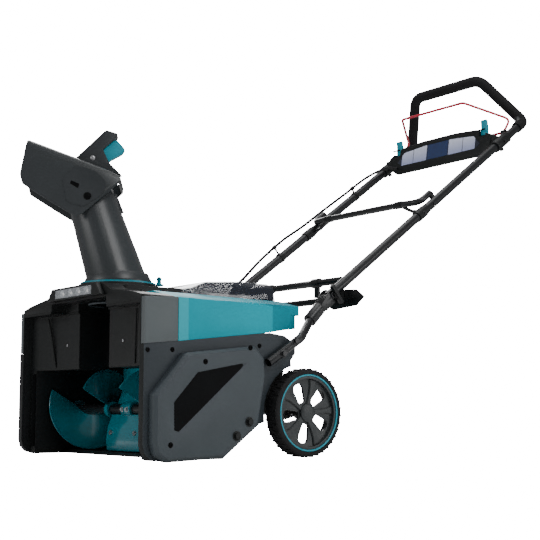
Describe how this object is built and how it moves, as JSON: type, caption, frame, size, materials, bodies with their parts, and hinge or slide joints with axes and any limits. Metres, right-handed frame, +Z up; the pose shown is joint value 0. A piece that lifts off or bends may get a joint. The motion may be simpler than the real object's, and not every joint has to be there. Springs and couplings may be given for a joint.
{
  "type": "snow blower",
  "caption": "Walk-behind battery snow blower with a wide auger intake, turning chute with tilting deflector, lidded battery bay and folding tubular handle with a bail.",
  "frame": {"origin": "on the ground under the middle of the bounding box", "axes": "+Z up, -Y towards the intake at the front, +X towards the operator's left"},
  "size_m": [0.625, 1.5038, 1.1202],
  "materials": {
    "black_plastic": "satin moulded",
    "charcoal_plastic": "fine grained",
    "grey_plastic": "fine grained",
    "chute_plastic": "satin moulded",
    "teal_plastic": "glossy",
    "teal_paint": "gloss enamel",
    "black_paint": "semi-gloss powder coat",
    "steel": "brushed",
    "rubber": "matt",
    "tyre": "matt moulded",
    "foam": "matt foam",
    "smoke": "smoked polycarbonate",
    "lens": "clear polycarbonate",
    "red_paint": "gloss enamel",
    "label": "clear window over a pale blue film"
  },
  "bodies": {
    "chassis": {"auger_housing": "black_plastic", "front_hood": "black_plastic", "led_housing": "black_plastic", "led_lens": "lens", "corner_block_left": "grey_plastic", "corner_block_right": "grey_plastic", "top_cover": "teal_plastic", "side_cover_left": "charcoal_plastic", "side_cover_right": "charcoal_plastic", "scraper_bar": "black_plastic", "bearing_left": "steel", "bearing_right": "steel", "motor": "steel", "drive_belt": "rubber", "controller": "black_plastic", "battery_tray": "black_plastic", "axle": "steel", "axle_carrier": "black_paint", "stub_tube_left": "black_paint", "stub_tube_right": "black_paint", "pivot_fork_left": "black_paint", "pivot_fork_right": "black_paint", "harness_lower": "rubber"},
    "auger": {"auger_shaft": "black_paint", "auger_flight_left": "teal_paint", "auger_flight_right": "teal_paint", "auger_paddle": "teal_paint", "auger_pulley": "steel"},
    "rotor": {"motor_rotor": "steel"},
    "pack_left": {"battery_pack_left": "black_plastic"},
    "pack_right": {"battery_pack_right": "black_plastic"},
    "lid": {"battery_cover": "smoke"},
    "chute": {"chute_ring": "teal_plastic", "chute": "chute_plastic"},
    "ring_knob": {"ring_knob": "teal_plastic"},
    "deflector": {"deflector": "chute_plastic", "deflector_handle": "chute_plastic"},
    "trigger": {"trigger": "teal_plastic"},
    "handle": {"lower_tube_left": "black_paint", "lower_tube_right": "black_paint", "lower_crossbar": "black_paint", "mid_crossbar": "black_paint", "handle_loop": "black_paint", "grip_foam": "foam", "console": "black_plastic", "console_window": "label", "harness_upper": "rubber"},
    "tool": {"cleanout_tool": "black_plastic"},
    "lever_left": {"lockoff_lever_left": "teal_plastic"},
    "lever_right": {"lockoff_lever_right": "teal_plastic"},
    "bail": {"bail": "red_paint"},
    "knob_left": {"pivot_knob_left": "black_plastic"},
    "knob_right": {"pivot_knob_right": "black_plastic"},
    "wheel_left": {"wheel_rim_left": "black_plastic", "wheel_ring_left": "teal_plastic", "tyre_left": "tyre"},
    "wheel_right": {"wheel_rim_right": "black_plastic", "wheel_ring_right": "teal_plastic", "tyre_right": "tyre"}
  },
  "joints": [
    {"name": "auger_spin", "type": "hinge", "parent": "chassis", "child": "auger", "pos_m": [0, -0.48659, 0.11], "axis": [1, 0, 0], "continuous": true},
    {"name": "motor_spin", "type": "hinge", "parent": "chassis", "child": "rotor", "pos_m": [0, -0.36659, 0.207], "axis": [1, 0, 0], "continuous": true},
    {"name": "wheel_left_spin", "type": "hinge", "parent": "chassis", "child": "wheel_left", "pos_m": [0.29, -0.20259, 0.1025], "axis": [1, 0, 0], "continuous": true},
    {"name": "wheel_right_spin", "type": "hinge", "parent": "chassis", "child": "wheel_right", "pos_m": [-0.29, -0.20259, 0.1025], "axis": [1, 0, 0], "continuous": true},
    {"name": "lid_open", "type": "hinge", "parent": "chassis", "child": "lid", "pos_m": [0, -0.16959, 0.38], "axis": [-1, 0, 0], "range_deg": [0, 95]},
    {"name": "pack_left_lift", "type": "slide", "parent": "chassis", "child": "pack_left", "axis": [0, 0, 1], "range_m": [0, 0.025]},
    {"name": "pack_right_lift", "type": "slide", "parent": "chassis", "child": "pack_right", "axis": [0, 0, 1], "range_m": [0, 0.025]},
    {"name": "chute_turn", "type": "hinge", "parent": "chassis", "child": "chute", "pos_m": [0, -0.52759, 0.4], "axis": [0, 0, 1], "range_deg": [-60, 130]},
    {"name": "ring_knob_turn", "type": "hinge", "parent": "chute", "child": "ring_knob", "pos_m": [0.04944, -0.4453, 0.405], "axis": [0, 0, 1], "continuous": true},
    {"name": "deflector_tilt", "type": "hinge", "parent": "chute", "child": "deflector", "pos_m": [-0.04015, -0.58493, 0.6], "axis": [0.8191, -0.5736, 0], "range_deg": [-12, 40]},
    {"name": "trigger_squeeze", "type": "hinge", "parent": "deflector", "child": "trigger", "pos_m": [-0.03671, -0.58002, 0.703], "axis": [0.8191, -0.5736, 0], "range_deg": [0, 7], "stiffness_Nm_per_rad": 1, "springref_deg": -5.73},
    {"name": "handle_fold", "type": "hinge", "parent": "chassis", "child": "handle", "pos_m": [0, -0.05659, 0.391], "axis": [1, 0, 0], "range_deg": [0, 80]},
    {"name": "bail_pull", "type": "hinge", "parent": "handle", "child": "bail", "pos_m": [0, 0.67141, 0.928], "axis": [1, 0, 0], "range_deg": [-24, 0], "stiffness_Nm_per_rad": 0.8, "springref_deg": 17.19},
    {"name": "lever_left_press", "type": "hinge", "parent": "handle", "child": "lever_left", "pos_m": [0.172, 0.62541, 0.924], "axis": [1, 0, 0], "range_deg": [-14, 0], "stiffness_Nm_per_rad": 0.05, "springref_deg": 11.46},
    {"name": "lever_right_press", "type": "hinge", "parent": "handle", "child": "lever_right", "pos_m": [-0.172, 0.62541, 0.924], "axis": [1, 0, 0], "range_deg": [-14, 0], "stiffness_Nm_per_rad": 0.05, "springref_deg": 11.46},
    {"name": "tool_slide", "type": "slide", "parent": "handle", "child": "tool", "axis": [1, 0, 0], "range_m": [0, 0.25]},
    {"name": "knob_left_turn", "type": "hinge", "parent": "chassis", "child": "knob_left", "pos_m": [0.226, -0.05659, 0.391], "axis": [1, 0, 0], "continuous": true},
    {"name": "knob_right_turn", "type": "hinge", "parent": "chassis", "child": "knob_right", "pos_m": [-0.226, -0.05659, 0.391], "axis": [1, 0, 0], "continuous": true}
  ],
  "couplings": [
    {"joint": "motor_spin", "follows": "auger_spin", "ratio": 2.5}
  ]
}
